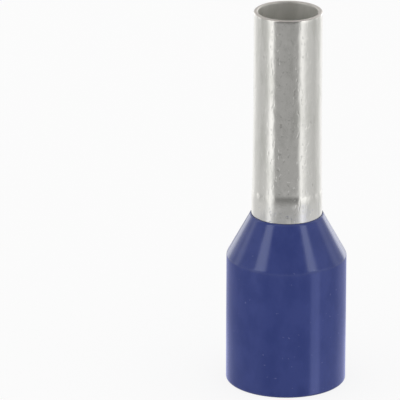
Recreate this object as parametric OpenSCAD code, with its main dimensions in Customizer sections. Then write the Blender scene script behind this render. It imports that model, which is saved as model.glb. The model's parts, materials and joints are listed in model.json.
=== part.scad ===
// Insulated wire ferrule for a 2.5 mm2 stranded wire: a tinned copper sleeve and a plastic collar.
// The ferrule stands on the collar's open rim, at z = 0, with the sleeve pointing up.

/* [Sleeve] */
// Bore of the sleeve, which takes the stripped end of the wire
bore_d = 2.2; // [1.9:0.05:2.5]
// Thickness of the sleeve's wall
sleeve_wall = 0.16; // [0.12:0.01:0.24]
// Length of the sleeve that stands out of the collar
sleeve_reach = 7.8; // [6:0.1:18]
// Length of the straight tip, before the outside begins to widen
tip_length = 3.5; // [2:0.1:4.5]
// How much the outside widens between the straight tip and the bell, on the diameter
draft = 0.06; // [0:0.01:0.12]
// Length of the slightly wider bell that shows above the collar, its flare included
bell_length = 1; // [0.6:0.1:1.4]
// Length of the flare at the top of the bell, over which the sleeve widens
flare_length = 0.35; // [0.2:0.05:0.5]
// How much the flare widens the outside, on the diameter
bell_growth = 0.04; // [0:0.01:0.12]
// Radius on both edges of the cut tip
tip_round = 0.06; // [0.02:0.01:0.08]
// Outer diameter of the funnel that the sleeve opens into inside the collar
funnel_d = 3.4; // [3:0.05:3.6]

/* [Collar] */
// Outer diameter of the collar's barrel
collar_d = 4.44; // [4.2:0.02:5]
// Length of the collar, from its open rim to its lip at the sleeve
collar_length = 6.5; // [5.5:0.05:9]
// Length of the outer cone between the barrel and the lip
cone_length = 1.6; // [1.2:0.02:2]
// Wall of the barrel around the wire's insulation
collar_wall = 0.32; // [0.2:0.02:0.4]
// Thickness of the collar's thin lip around the sleeve
lip_wall = 0.02; // [0.02:0.01:0.15]
// Length of the tight bore that grips the sleeve
grip_length = 1.1; // [0.8:0.05:1.4]
// Angle between the axis and the inner cone that the funnel seats on
seat_angle = 45; // [38:1:50]
// Radius of the edge between the barrel and the cone
shoulder_round = 0.2; // [0.05:0.05:0.6]
// Radius on the outer edge of the open rim
rim_round = 0.08; // [0.03:0.01:0.1]
// Chamfer on the inner edge of the open rim, which leads the insulation in
rim_chamfer = 0.08; // [0.03:0.01:0.1]

/* [Fit] */
// Gap between the sleeve and the collar, in the grip and on the seat
seat_gap = 0.01; // [0.005:0.005:0.03]

/* [Hidden] */
$fn = 96;
// Straight steps that make up each rounded edge of a profile
arc_steps = 6;
full_length = collar_length + sleeve_reach;

// Outside radii of the sleeve from its tip down, and its bore below the bell
bore_r = bore_d / 2;
tip_r = bore_r + sleeve_wall;
bell_top_r = tip_r + draft / 2;
neck_r = bell_top_r + bell_growth / 2;
neck_bore_r = neck_r - sleeve_wall;
funnel_r = funnel_d / 2;

// Each rounded edge of the tip takes less than half of the wall
tip_arc_share = 0.45;
tip_arc_r = min(tip_round, tip_arc_share * sleeve_wall);

// Radii of the collar
collar_r = collar_d / 2;
insulation_r = collar_r - collar_wall;
grip_r = neck_r + seat_gap;
lip_r = grip_r + lip_wall;

// Heights, from the open rim up
bell_top_z = collar_length + bell_length;
flare_end_z = bell_top_z - flare_length;
grip_end_z = collar_length - grip_length;
seat_end_z = grip_end_z - (insulation_r - grip_r) / tan(seat_angle);
shoulder_z = collar_length - cone_length;

// The funnel keeps the gap to its seat, and the wall keeps its thickness round the bend
funnel_start_z = grip_end_z - seat_gap * tan(seat_angle / 2);
funnel_bore_z = funnel_start_z - sleeve_wall * tan(seat_angle / 2);
funnel_rim_z = funnel_start_z - (funnel_r - neck_r) / tan(seat_angle);

// The rounded shoulder touches the barrel and the cone
cone_angle = atan((collar_r - lip_r) / cone_length);
shoulder_arc_z = shoulder_z - shoulder_round * tan(cone_angle / 2);

// Points [radius, height] along an arc, from one angle to another
function arc(centre, radius, from, to) = [
    for (step = [0 : arc_steps])
        let (angle = from + (to - from) * step / arc_steps)
            centre + radius * [cos(angle), sin(angle)]
];

// Half sections, as [radius, height], turned about the axis
function sleeve_section() = concat(
    arc([bore_r + tip_arc_r, full_length - tip_arc_r], tip_arc_r, 180, 90),
    arc([tip_r - tip_arc_r, full_length - tip_arc_r], tip_arc_r, 90, 0),
    [
        [tip_r, full_length - tip_length],
        [bell_top_r, bell_top_z],
        [neck_r, flare_end_z],
        [neck_r, funnel_start_z],
        [funnel_r, funnel_rim_z],
        [funnel_r - sleeve_wall * cos(seat_angle), funnel_rim_z - sleeve_wall * sin(seat_angle)],
        [neck_bore_r, funnel_bore_z],
        [neck_bore_r, collar_length],
        [bore_r, bell_top_z]
    ]
);

function collar_section() = concat(
    [
        [insulation_r, rim_chamfer],
        [insulation_r + rim_chamfer, 0]
    ],
    arc([collar_r - rim_round, rim_round], rim_round, -90, 0),
    arc([collar_r - shoulder_round, shoulder_arc_z], shoulder_round, 0, cone_angle),
    [
        [lip_r, collar_length],
        [grip_r, collar_length],
        [grip_r, grip_end_z],
        [insulation_r, seat_end_z]
    ]
);

// Tinned copper tube with a straight bore, a slight bell at the collar and a funnel inside it
module sleeve() {
    color("silver")
        rotate_extrude()
            polygon(sleeve_section());
}

// Moulded plastic collar: an open barrel for the insulation, and a cone that grips the sleeve
module collar() {
    color([0.22, 0.25, 0.52])
        rotate_extrude()
            polygon(collar_section());
}

sleeve();
collar();
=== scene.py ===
import json
import math
import bpy
import numpy as np
from mathutils import Matrix, Vector


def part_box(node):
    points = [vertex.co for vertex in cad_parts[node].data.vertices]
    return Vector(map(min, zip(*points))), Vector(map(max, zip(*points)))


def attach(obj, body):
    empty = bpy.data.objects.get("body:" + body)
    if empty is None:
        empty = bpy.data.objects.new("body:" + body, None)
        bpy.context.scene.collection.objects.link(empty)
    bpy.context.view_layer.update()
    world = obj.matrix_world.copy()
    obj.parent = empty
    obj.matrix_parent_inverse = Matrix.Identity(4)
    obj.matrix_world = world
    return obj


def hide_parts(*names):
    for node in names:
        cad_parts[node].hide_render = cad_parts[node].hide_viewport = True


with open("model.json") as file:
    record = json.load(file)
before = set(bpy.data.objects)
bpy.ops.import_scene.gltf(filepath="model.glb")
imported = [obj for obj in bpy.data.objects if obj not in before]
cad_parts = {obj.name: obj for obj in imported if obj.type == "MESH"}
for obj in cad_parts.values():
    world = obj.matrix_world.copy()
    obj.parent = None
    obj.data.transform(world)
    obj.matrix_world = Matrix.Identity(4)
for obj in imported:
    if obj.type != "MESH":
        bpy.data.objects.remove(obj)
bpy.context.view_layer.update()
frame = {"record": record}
mounts = {mount["name"]: mount["dims"] for mount in frame["record"]["mounts"]}
mm = 0.001           # lengths in the dictionaries below are in millimetres
degree = math.pi / 180
seatLean = 45 * degree               # the funnel and its seat lean this far from the axis
halfBend = math.tan(seatLean / 2)    # a bend's corner shifts by this share of the wall's thickness
print("frame loaded")

# the camera looks down on the ferrule, which stands right of the middle of the picture
cameraSetup = {
    "lens": 530,         # a long lens, so upright edges stay nearly parallel
    "distance": 216.9,   # from the middle of the ferrule
    "elevation": 19.64,  # degrees above the floor
    "aimLeft": 3.20,     # the lens points this far left of the ferrule
    "aimDown": 0.195,    # and this far below its middle
    "roll": 0.13,        # degrees, turns the picture clockwise
    "sensor": 36,        # width of the film, as the lens is in the camera's own millimetres
    "clip": (0.01, 10),  # metres
}


def makeCamera(setup):
    middle = Vector((0, 0, (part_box("collar")[0].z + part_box("sleeve")[1].z) / 2))
    tilt = setup["elevation"] * degree
    data = bpy.data.cameras.new("camera")
    data.lens = setup["lens"]
    data.sensor_width = setup["sensor"]
    data.clip_start, data.clip_end = setup["clip"]
    camera = bpy.data.objects.new("camera", data)
    bpy.context.scene.collection.objects.link(camera)
    away = Vector((0, -math.cos(tilt), math.sin(tilt)))
    camera.location = middle + away * setup["distance"] * mm
    aim = middle - Vector((setup["aimLeft"] * mm, 0, setup["aimDown"] * mm))
    turn = (aim - camera.location).to_track_quat("-Z", "Y").to_matrix()
    camera.rotation_euler = (turn @ Matrix.Rotation(setup["roll"] * degree, 3, "Z")).to_euler()
    bpy.context.scene.camera = camera


makeCamera(cameraSetup)
print("camera set")


def arcPoints(centre, radius, start, end, steps):
    # centre + radius * (cos, sin) at equal angles, in the plane of radius and height
    angle = np.linspace(start, end, steps) * degree
    return np.stack([centre[0] + radius * np.cos(angle), centre[1] + radius * np.sin(angle)], axis=1)


def evenOutline(corners, spacing):
    # a closed outline whose straight runs are cut into equal steps no longer than the spacing
    runs = []
    for here, there in zip(corners, np.roll(corners, -1, axis=0)):
        steps = max(1, math.ceil(np.linalg.norm(there - here) / spacing))
        share = np.arange(steps)[:, None] / steps
        runs.append(here + (there - here) * share)
    return np.concatenate(runs)


def smoothStep(low, high, value):
    # 0 below low, 1 above high, and 3t^2 - 2t^3 between them
    share = np.clip((value - low) / (high - low), 0, 1)
    return share * share * (3 - 2 * share)


waveFall = 0.7
wavePhase = 6.3      # about a full turn, in radians


def drawWaves(shape):
    # size, turns round the axis, pace along it and phase; size falls as turns to the power waveFall
    chance = np.random.default_rng(shape["seed"])
    pace = shape["wavePace"]
    return [(shape["waviness"] / turns ** waveFall, turns,
             chance.uniform(-pace, pace), chance.uniform(0, wavePhase)) for turns in shape["waveTurns"]]


def ripples(waves, angle, height):
    # the sum of size * cos(turns * angle + pace * height + phase), one term for each wave
    return sum(size * np.cos(turns * angle + pace * height + phase)
               for size, turns, pace, phase in waves)


def turnedPiece(name, outline, sides, relief):
    # outline gives radius and height; each point is pushed along its normal by relief(angle, height),
    # then x = radius * cos(angle) and y = radius * sin(angle)
    angle = np.linspace(0, 2 * np.pi, sides, endpoint=False)[None, :]
    along = np.roll(outline, -1, axis=0) - np.roll(outline, 1, axis=0)
    along /= np.linalg.norm(along, axis=1)[:, None]
    push = relief(angle, outline[:, 1:])
    radius = outline[:, :1] + along[:, 1:] * push
    height = outline[:, 1:] - along[:, :1] * push
    points = np.stack([radius * np.cos(angle), radius * np.sin(angle), height], axis=2)
    rows = len(outline)
    row, column = np.meshgrid(np.arange(rows), np.arange(sides), indexing="ij")
    nextRow, nextColumn = (row + 1) % rows, (column + 1) % sides
    corners = [row * sides + column, row * sides + nextColumn,
               nextRow * sides + nextColumn, nextRow * sides + column]
    faces = np.stack([corner.ravel() for corner in corners], axis=1).astype(np.int32)
    mesh = bpy.data.meshes.new(name)
    mesh.vertices.add(rows * sides)
    mesh.vertices.foreach_set("co", (points * mm).ravel())
    mesh.loops.add(faces.size)
    mesh.loops.foreach_set("vertex_index", faces.ravel())
    mesh.polygons.add(len(faces))
    mesh.polygons.foreach_set("loop_start", np.arange(0, faces.size, 4, dtype=np.int32))
    mesh.update(calc_edges=True)
    mesh.polygons.foreach_set("use_smooth", np.ones(len(faces), dtype=bool))
    piece = bpy.data.objects.new(name, mesh)
    bpy.context.scene.collection.objects.link(piece)
    return piece


def addNode(tree, kind, values=None, **settings):
    # a shader node; each value is a number or colour, or a socket to link from
    made = tree.nodes.new("ShaderNode" + kind)
    for key, setting in settings.items():
        setattr(made, key, setting)
    for key, value in (values or {}).items():
        if isinstance(value, bpy.types.NodeSocket):
            tree.links.new(value, made.inputs[key])
        else:
            made.inputs[key].default_value = value
    return made


def newMaterial(name):
    material = bpy.data.materials.new(name)
    material.use_nodes = True
    material.node_tree.nodes.clear()
    return material, material.node_tree


def noiseOn(tree, place, pattern):
    # noise on Object coordinates; pattern gives the scale in 1/mm, the share of that scale along z
    # and the detail
    scale, upright, detail = pattern
    spread = addNode(tree, "Mapping", {
        "Vector": place, "Scale": [scale / mm, scale / mm, upright * scale / mm]})
    return addNode(tree, "TexNoise", {"Vector": spread.outputs[0], "Scale": 1.0, "Detail": detail,
                                      "Roughness": 0.5}).outputs["Fac"]


def remap(tree, value, low, high, outLow, outHigh, kind="SMOOTHSTEP"):
    return addNode(tree, "MapRange", {"Value": value, "From Min": low, "From Max": high,
                                      "To Min": outLow, "To Max": outHigh},
                   interpolation_type=kind).outputs["Result"]


def mixColours(tree, share, first, second):
    mixed = addNode(tree, "Mix", {0: share, 6: first, 7: second}, data_type="RGBA")
    return mixed.outputs[2]


def addBump(tree, height, depth, base=None):
    # depth is the relief's height in millimetres
    values = {"Height": height, "Distance": depth * mm, "Strength": 1.0}
    if base is not None:
        values["Normal"] = base
    return addNode(tree, "Bump", values).outputs["Normal"]


sleeveShape = {
    "sides": 240,
    "spacing": 0.09,       # longest step along the outline
    "roundPoints": 8,      # on each rounded edge
    "flarePoints": 8,
    "tipLength": 3.5,      # straight run below the tip, before the outside widens
    "tipRound": 0.06,      # radius on both edges of the cut tip
    "draft": 0.03,         # growth of the radius from the straight run to the bell
    "bell": 1.0,           # length of the wider bell above the collar, its flare included
    "flare": 0.35,         # length of the flare at the top of the bell
    "flareGrowth": 0.02,   # growth of the radius over the flare
    "grip": 1.1,           # length inside the collar before the funnel begins
    "gap": 0.01,           # room between the sleeve and the collar
    "waviness": 0.0009,    # how far the drawn wall strays from a true cylinder
    "waveTurns": (2, 3, 4, 5, 7, 9, 12),
    "wavePace": 1.6,       # radians per millimetre of height, at most
    "waveFade": (0.05, 0.6),  # the waves fade in between these heights above the collar
    "seed": 7,
}
tinFinish = {
    "colour": (0.80, 0.79, 0.755, 1),
    "dull": (0.72, 0.715, 0.675, 1),     # where the tin is rubbed or thin
    "cut": (0.58, 0.55, 0.515, 1),       # the sheared edge of the tip, where copper shows
    "speck": (0.36, 0.35, 0.32, 1),
    "marks": 0.38,                       # how much the specks show
    # the noise from which each of these begins, and from which it is full
    "rubbedRise": (0.45, 0.66),
    "marksRise": (0.72, 0.80),
    "pitsRise": (0.60, 0.72),
    "roughRise": (0.35, 0.65),
    "roughness": (0.12, 0.22),
    "boreRoughness": 0.62,
    "cutRoughness": 0.40,
    "boreEdge": (0.01, -0.03),           # from the middle of the wall, where the bore's finish begins
    "cutEdge": (0.045, 0.025),           # below the tip, where the cut begins
    # each noise: its scale in 1/mm, the share of that along the axis, and its detail
    "lines": (14, 0.03, 3),
    "peel": (3.6, 0.5, 3),
    "patches": (2.0, 0.3, 4),
    "grain": (5, 0.6, 0.6),
    "specks": (11, 0.4, 1),
    "lineDepth": 0.0008,
    "peelDepth": 0.0020,
    "grainDepth": 0.0058,
    "pitDepth": 0.0024,
}


def makeSleeve(shape):
    # a drawn tube: straight bore, outside that widens slightly, bell above the collar, funnel inside it
    funnelRadius, _, top = np.array(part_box("sleeve")[1]) / mm
    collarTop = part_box("collar")[1].z / mm
    boreRadius, tipRadius = mounts["sleeve_bore"]["r_mm"], mounts["sleeve_tip"]["r_mm"]
    wall = tipRadius - boreRadius
    tipEnd, bellTop = top - shape["tipLength"], collarTop + shape["bell"]
    bellRadius = tipRadius + shape["draft"]
    neckRadius = bellRadius + shape["flareGrowth"]
    flareEnd = bellTop - shape["flare"]
    # the flare leaves the straight wall at a kink and eases out to the neck: radius falls as share^2
    share = np.linspace(0, 1, shape["flarePoints"] + 1)[1:]
    flareCurve = [(neckRadius - shape["flareGrowth"] * t * t, flareEnd + shape["flare"] * t) for t in share]
    gripEnd = collarTop - shape["grip"] - shape["gap"] * halfBend
    funnelRim = gripEnd - (funnelRadius - neckRadius) / math.tan(seatLean)
    funnelLip = (funnelRadius - wall * math.cos(seatLean), funnelRim - wall * math.sin(seatLean))
    outside = [funnelLip, (funnelRadius, funnelRim),
               (neckRadius, gripEnd), (neckRadius, flareEnd), *flareCurve, (tipRadius, tipEnd)]
    inside = [(boreRadius, bellTop), (neckRadius - wall, collarTop),
              (neckRadius - wall, gripEnd - wall * halfBend)]
    rounding, steps = shape["tipRound"], shape["roundPoints"]
    outline = np.concatenate([
        outside,
        arcPoints((tipRadius - rounding, top - rounding), rounding, 0, 90, steps),
        arcPoints((boreRadius + rounding, top - rounding), rounding, 90, 180, steps),
        inside,
    ])
    waves = drawWaves(shape)
    fadeFrom, fadeTo = [collarTop + rise for rise in shape["waveFade"]]

    def relief(angle, height):
        shown = smoothStep(fadeFrom, fadeTo, height)
        return ripples(waves, angle, height) * shown

    return turnedPiece("sleeve_tube", evenOutline(outline, shape["spacing"]), shape["sides"], relief)


def tinMaterial(finish):
    material, tree = newMaterial("tinned_copper")
    place = addNode(tree, "TexCoord").outputs["Object"]
    parts = addNode(tree, "SeparateXYZ", {"Vector": place})
    flat = addNode(tree, "CombineXYZ", {"X": parts.outputs["X"], "Y": parts.outputs["Y"], "Z": 0.0})
    radius = addNode(tree, "VectorMath", {0: flat.outputs[0]}, operation="LENGTH").outputs["Value"]
    boreRadius, tipRadius = mounts["sleeve_bore"]["r_mm"], mounts["sleeve_tip"]["r_mm"]
    middle = (boreRadius + tipRadius) / 2
    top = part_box("sleeve")[1].z / mm
    boreFrom, boreTo = [(middle + step) * mm for step in finish["boreEdge"]]
    cutFrom, cutTo = [(top - step) * mm for step in finish["cutEdge"]]
    inBore = remap(tree, radius, boreFrom, boreTo, 0, 1)
    onCut = remap(tree, parts.outputs["Z"], cutFrom, cutTo, 0, 1)
    lines, peel, patches, grain, specks = [
        noiseOn(tree, place, finish[key]) for key in ("lines", "peel", "patches", "grain", "specks")]
    rubbed = remap(tree, patches, *finish["rubbedRise"], 0, 1)
    marked = remap(tree, specks, *finish["marksRise"], 0, finish["marks"])
    pits = remap(tree, specks, *finish["pitsRise"], 1, 0)
    colour = mixColours(tree, rubbed, finish["colour"], finish["dull"])
    colour = mixColours(tree, marked, colour, finish["speck"])
    colour = mixColours(tree, onCut, colour, finish["cut"])
    rough = remap(tree, patches, *finish["roughRise"], *finish["roughness"])
    rough = addNode(tree, "Mix", {0: inBore, 2: rough, 3: finish["boreRoughness"]}).outputs[0]
    rough = addNode(tree, "Mix", {0: onCut, 2: rough, 3: finish["cutRoughness"]}).outputs[0]
    normal = addBump(tree, lines, finish["lineDepth"])
    normal = addBump(tree, peel, finish["peelDepth"], normal)
    normal = addBump(tree, grain, finish["grainDepth"], normal)
    normal = addBump(tree, pits, finish["pitDepth"], normal)
    shader = addNode(tree, "BsdfPrincipled", {"Base Color": colour, "Metallic": 1.0,
                                              "Roughness": rough, "Normal": normal})
    addNode(tree, "OutputMaterial", {"Surface": shader.outputs[0]})
    return material


sleeve = makeSleeve(sleeveShape)
sleeve.data.materials.append(tinMaterial(tinFinish))
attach(sleeve, "root")
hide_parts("sleeve")
print("sleeve made:", len(sleeve.data.polygons), "faces")

collarShape = {
    "sides": 240,
    "spacing": 0.09,
    "rimPoints": 8,
    "shoulderPoints": 7,
    "cone": 1.60,          # length of the cone between the barrel and the lip
    "lip": 0.02,           # thickness of the thin lip round the sleeve
    "grip": 1.1,           # length of the tight bore round the sleeve
    "gap": 0.01,
    "shoulderRound": 0.2,  # radius between the barrel and the cone
    "rimRound": 0.08,      # radius on the outer edge of the open rim
    "rimChamfer": 0.08,    # lead-in on the inner edge of the open rim
    "waviness": 0.0016,
    "waveTurns": (2, 3, 4, 6, 9),
    "wavePace": 1.2,
    "waveFade": (0.5, 0.7, 0.1),  # the waves fade in over the first height and out between the others
    "seed": 3,
}
plasticFinish = {
    "colour": (0.036, 0.052, 0.194, 1),
    "cloud": (0.043, 0.060, 0.215, 1),
    "speck": (0.16, 0.18, 0.36, 1),
    "roughness": (0.11, 0.17),
    "gloss": (0.78, 0.84, 1.0, 1),       # tints what the skin mirrors
    "bloom": 0.12,                       # a faint lavender bloom along the edges
    "bloomColour": (0.45, 0.45, 1.0, 1),
    "bloomRoughness": 0.25,
    "marks": 0.35,                       # how much the specks show
    "refraction": 1.49,
    "cloudRise": (0.35, 0.65),           # the noise from which each of these begins and is full
    "marksRise": (0.73, 0.81),
    "roughRise": (0.3, 0.7),
    "clouds": (1.6, 0.6, 3),             # each noise as in the tin's finish
    "grain": (9, 1, 3),
    "specks": (7, 1, 1),
    "grainDepth": 0.0006,
}


def makeCollar(shape):
    # a moulded sleeve: open barrel, cone, thin lip, tight bore and an inner cone down to the barrel's bore
    barrelRadius, _, top = np.array(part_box("collar")[1]) / mm
    insulationRadius = mounts["insulation_bore"]["r_mm"]
    neckRadius = mounts["sleeve_tip"]["r_mm"] + sleeveShape["draft"] + sleeveShape["flareGrowth"]
    gripRadius = neckRadius + shape["gap"]
    lipRadius = gripRadius + shape["lip"]
    coneAngle = math.atan2(barrelRadius - lipRadius, shape["cone"]) / degree
    rounding, rim = shape["shoulderRound"], shape["rimRound"]
    shoulder = top - shape["cone"] - rounding * math.tan(coneAngle / 2 * degree)
    gripEnd = top - shape["grip"]
    outline = np.concatenate([
        [(insulationRadius, shape["rimChamfer"]), (insulationRadius + shape["rimChamfer"], 0)],
        arcPoints((barrelRadius - rim, rim), rim, -90, 0, shape["rimPoints"]),
        arcPoints((barrelRadius - rounding, shoulder), rounding, 0, coneAngle, shape["shoulderPoints"]),
        [(lipRadius, top), (gripRadius, top), (gripRadius, gripEnd),
         (insulationRadius, gripEnd - (insulationRadius - gripRadius) / math.tan(seatLean))],
    ])
    waves = drawWaves(shape)
    rise, fall, end = shape["waveFade"]

    def relief(angle, height):
        shown = smoothStep(0, rise, height) * smoothStep(top - end, top - fall, height)
        return ripples(waves, angle, height) * shown

    return turnedPiece("collar_shell", evenOutline(outline, shape["spacing"]), shape["sides"], relief)


def plasticMaterial(finish):
    material, tree = newMaterial("blue_plastic")
    place = addNode(tree, "TexCoord").outputs["Object"]
    clouds, grain, specks = [noiseOn(tree, place, finish[key]) for key in ("clouds", "grain", "specks")]
    cloudy = remap(tree, clouds, *finish["cloudRise"], 0, 1)
    marked = remap(tree, specks, *finish["marksRise"], 0, finish["marks"])
    colour = mixColours(tree, cloudy, finish["colour"], finish["cloud"])
    colour = mixColours(tree, marked, colour, finish["speck"])
    shader = addNode(tree, "BsdfPrincipled", {
        "Base Color": colour,
        "Roughness": remap(tree, clouds, *finish["roughRise"], *finish["roughness"]),
        "IOR": finish["refraction"],
        "Specular Tint": finish["gloss"],
        "Sheen Weight": finish["bloom"],
        "Sheen Roughness": finish["bloomRoughness"],
        "Sheen Tint": finish["bloomColour"],
        "Normal": addBump(tree, grain, finish["grainDepth"]),
    })
    addNode(tree, "OutputMaterial", {"Surface": shader.outputs[0]})
    return material


collar = makeCollar(collarShape)
collar.data.materials.append(plasticMaterial(plasticFinish))
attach(collar, "root")
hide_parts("collar")
print("collar made:", len(collar.data.polygons), "faces")

# a light tent drawn on the sky: two tall softboxes at the front corners, a dim gap between them on the
# camera's side, paler sides and a bright back
studio = {
    "floorColour": (0.90, 0.90, 0.90, 1),
    "floorGlow": 0.84,     # how far the floor is lifted to white; the rest keeps the shadow
    "floorSize": 3.0,      # metres
    # the sine of the elevation at which each band of the sky gives way to the next
    "levelRise": (-0.31, -0.20),
    "aboveRise": (0.15, 0.42),
    "zenithRise": (0.60, 0.88),
    "zenith": 0.55,        # the light overhead
    "plainLow": 1.0,       # the even light that gives matt surfaces their colour, from the sides
    "plainHigh": 0.85,     # and overhead
    "plainRise": (0.1, 0.9),
    # a low ring round the foot, which the collar's barrel and the sleeve's neck mirror
    "skirtRadius": 16,
    "skirtSides": 96,
    "skirtFrom": -8,
    "skirtTo": 2.0,
    "neckRise": (0.0, 0.3),     # above this the ring lights the neck, and below it the barrel
    "neckLeast": 0.70,          # the least light that the neck mirrors
    "barrelTint": (0.95, 1.0, 1.5),
    "footRise": (-4.8, -2.8),   # below this the ring lights the barrel's foot
    "footLift": 1.4,            # how much brighter it is there
}
# each row: degrees round from the camera's side, the light below the horizon, at it and above it, and
# the skirt's light; a ramp holds 32 rows at most
bandColumns = ("turn", "below", "level", "above", "skirt")
skyBands = [
    (-180, 1.05, 0.30, 1.05, 0.55),
    (-165, 1.05, 0.40, 0.75, 0.55),
    (-155, 1.04, 1.80, 0.65, 0.55),
    (-149, 1.02, 2.00, 0.65, 0.55),
    (-142, 1.00, 2.10, 0.65, 0.53),
    (-136, 0.85, 1.10, 0.90, 0.50),
    (-120, 0.71, 0.65, 0.80, 0.42),
    (-113, 0.66, 1.20, 1.30, 0.38),
    (-107, 0.63, 1.20, 1.30, 0.36),
    (-99, 0.60, 0.50, 0.35, 0.34),
    (-75, 0.66, 0.60, 0.45, 0.30),
    (-69, 0.74, 1.00, 0.50, 0.32),
    (-64, 1.06, 1.20, 2.70, 0.34),
    (-53, 1.24, 1.20, 2.70, 0.36),
    (-46, 0.66, 0.90, 2.50, 0.34),
    (-41, 0.44, 0.30, 0.12, 0.25),
    (-33, 0.42, 0.22, 0.10, 0.16),
    (33, 0.43, 0.22, 0.10, 0.20),
    (37, 0.50, 0.45, 0.12, 0.28),
    (43, 0.94, 1.10, 0.40, 0.36),
    (48, 1.10, 1.20, 2.80, 1.20),
    (61, 0.82, 1.20, 2.80, 1.25),
    (67, 0.66, 1.00, 0.50, 0.50),
    (100, 0.58, 0.50, 0.40, 0.38),
    (108, 0.60, 1.00, 1.10, 0.42),
    (115, 0.68, 1.00, 1.10, 0.50),
    (121, 0.72, 0.70, 0.80, 0.52),
    (136, 0.85, 0.90, 0.90, 0.54),
    (141, 1.00, 2.40, 1.00, 0.55),
    (149, 1.02, 2.60, 1.10, 0.55),
    (156, 1.04, 1.80, 1.20, 0.55),
    (180, 1.05, 0.30, 1.05, 0.55),
]


def makeFloor(setup):
    size = setup["floorSize"] / 2
    corners = [(-size, -size, 0), (size, -size, 0), (size, size, 0), (-size, size, 0)]
    mesh = bpy.data.meshes.new("floor")
    mesh.from_pydata(corners, [], [(0, 1, 2, 3)])
    material, tree = newMaterial("floor_white")
    paint = addNode(tree, "BsdfDiffuse", {"Color": setup["floorColour"]})
    glow = addNode(tree, "Emission", {"Color": (1, 1, 1, 1), "Strength": 1.0})
    path = addNode(tree, "LightPath")
    seen = addNode(tree, "Math", {0: path.outputs["Is Camera Ray"], 1: path.outputs["Is Glossy Ray"]},
                   operation="MAXIMUM")
    seen = addNode(tree, "Math", {0: seen.outputs[0], 1: path.outputs["Is Transmission Ray"]},
                   operation="MAXIMUM")
    share = addNode(tree, "Math", {0: seen.outputs[0], 1: setup["floorGlow"]}, operation="MULTIPLY")
    both = addNode(tree, "MixShader", {0: share.outputs[0], 1: paint.outputs[0], 2: glow.outputs[0]})
    addNode(tree, "OutputMaterial", {"Surface": both.outputs[0]})
    mesh.materials.append(material)
    floor = bpy.data.objects.new("floor", mesh)
    floor.visible_glossy = False     # shiny pieces mirror the tent and not the floor
    bpy.context.scene.collection.objects.link(floor)


def grey(light):
    return light, light, light, 1


def bandRamp(tree, share, bands, name):
    # one column of the bands, as light that runs round the axis
    ramp = addNode(tree, "ValToRGB", {"Fac": share})
    stops = ramp.color_ramp.elements
    while len(stops) < len(bands):
        stops.new(0.5)
    column = bandColumns.index(name)
    for stop, band in zip(stops, bands):
        stop.position = (band[0] + 180) / 360
        stop.color = grey(band[column])
    return ramp.outputs["Color"]


def turnShare(tree, place):
    # the angle round from the camera's side, from 0 at the back, through 0.5 at the front, to 1
    parts = addNode(tree, "SeparateXYZ", {"Vector": place})
    back = addNode(tree, "Math", {0: parts.outputs["Y"], 1: -1.0}, operation="MULTIPLY")
    turn = addNode(tree, "Math", {0: parts.outputs["X"], 1: back.outputs[0]}, operation="ARCTAN2")
    return remap(tree, turn.outputs[0], -math.pi, math.pi, 0, 1, "LINEAR"), parts.outputs["Z"]


def riseMix(tree, height, rise, scale, low, high):
    # low turns into high as the height climbs through rise
    return mixColours(tree, remap(tree, height, rise[0] * scale, rise[1] * scale, 0, 1), low, high)


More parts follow.
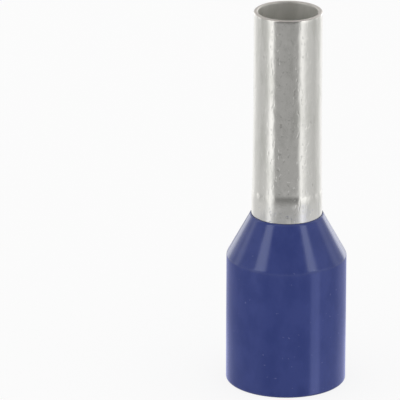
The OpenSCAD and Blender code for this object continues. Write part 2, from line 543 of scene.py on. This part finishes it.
def makeSkirt(setup, bands):
    # x = radius * cos(angle) and y = radius * sin(angle) on two rings, joined by one row of faces
    sides = setup["skirtSides"]
    angle = np.linspace(0, 2 * np.pi, sides, endpoint=False)
    ring = np.stack([np.cos(angle), np.sin(angle)], axis=1) * setup["skirtRadius"]
    points = np.concatenate([np.insert(ring, 2, setup[key], axis=1) for key in ("skirtFrom", "skirtTo")])
    first = np.arange(sides)
    second = (first + 1) % sides
    faces = np.stack([first, second, second + sides, first + sides], axis=1)
    mesh = bpy.data.meshes.new("skirt")
    mesh.from_pydata((points * mm).tolist(), [], faces.tolist())
    material, tree = newMaterial("skirt_grey")
    share, height = turnShare(tree, addNode(tree, "TexCoord").outputs["Object"])
    barrelSide = bandRamp(tree, share, bands, "skirt")
    barrelSide = addNode(tree, "VectorMath", {0: barrelSide, 1: setup["barrelTint"]},
                         operation="MULTIPLY").outputs[0]
    footFrom, footTo = [rise * mm for rise in setup["footRise"]]
    lift = remap(tree, height, footFrom, footTo, setup["footLift"], 1)
    barrelSide = addNode(tree, "VectorMath", {0: barrelSide, "Scale": lift}, operation="SCALE").outputs[0]
    least = (setup["neckLeast"],) * 3
    neckSide = addNode(tree, "VectorMath", {0: bandRamp(tree, share, bands, "below"), 1: least},
                       operation="MAXIMUM").outputs[0]
    light = riseMix(tree, height, setup["neckRise"], mm, barrelSide, neckSide)
    glow = addNode(tree, "Emission", {"Color": light, "Strength": 1.0})
    addNode(tree, "OutputMaterial", {"Surface": glow.outputs[0]})
    mesh.materials.append(material)
    skirt = bpy.data.objects.new("skirt", mesh)
    skirt.visible_camera = False     # only mirrors see the ring
    skirt.visible_diffuse = False
    skirt.visible_transmission = False
    skirt.visible_shadow = False
    bpy.context.scene.collection.objects.link(skirt)


def makeSky(setup, bands):
    # the angle round from the camera's side runs along three ramps, which are mixed by height
    world = bpy.data.worlds.new("tent")
    world.use_nodes = True
    tree = world.node_tree
    tree.nodes.clear()
    share, height = turnShare(tree, addNode(tree, "TexCoord").outputs["Generated"])
    below, level, above = [bandRamp(tree, share, bands, name) for name in ("below", "level", "above")]
    light = riseMix(tree, height, setup["levelRise"], 1, below, level)
    light = riseMix(tree, height, setup["aboveRise"], 1, light, above)
    light = riseMix(tree, height, setup["zenithRise"], 1, light, grey(setup["zenith"]))
    # only mirrors see the bands; matt surfaces get an even light, so their colour comes out as written
    plain = riseMix(tree, height, setup["plainRise"], 1, grey(setup["plainLow"]), grey(setup["plainHigh"]))
    mirrored = addNode(tree, "LightPath").outputs["Is Glossy Ray"]
    light = mixColours(tree, mirrored, plain, light)
    glow = addNode(tree, "Background", {"Color": light, "Strength": 1.0})
    addNode(tree, "OutputWorld", {"Surface": glow.outputs[0]})
    bpy.context.scene.world = world


makeFloor(studio)
makeSkirt(studio, skyBands)
makeSky(studio, skyBands)
bpy.context.scene.view_settings.view_transform = "Standard"
print("studio set")
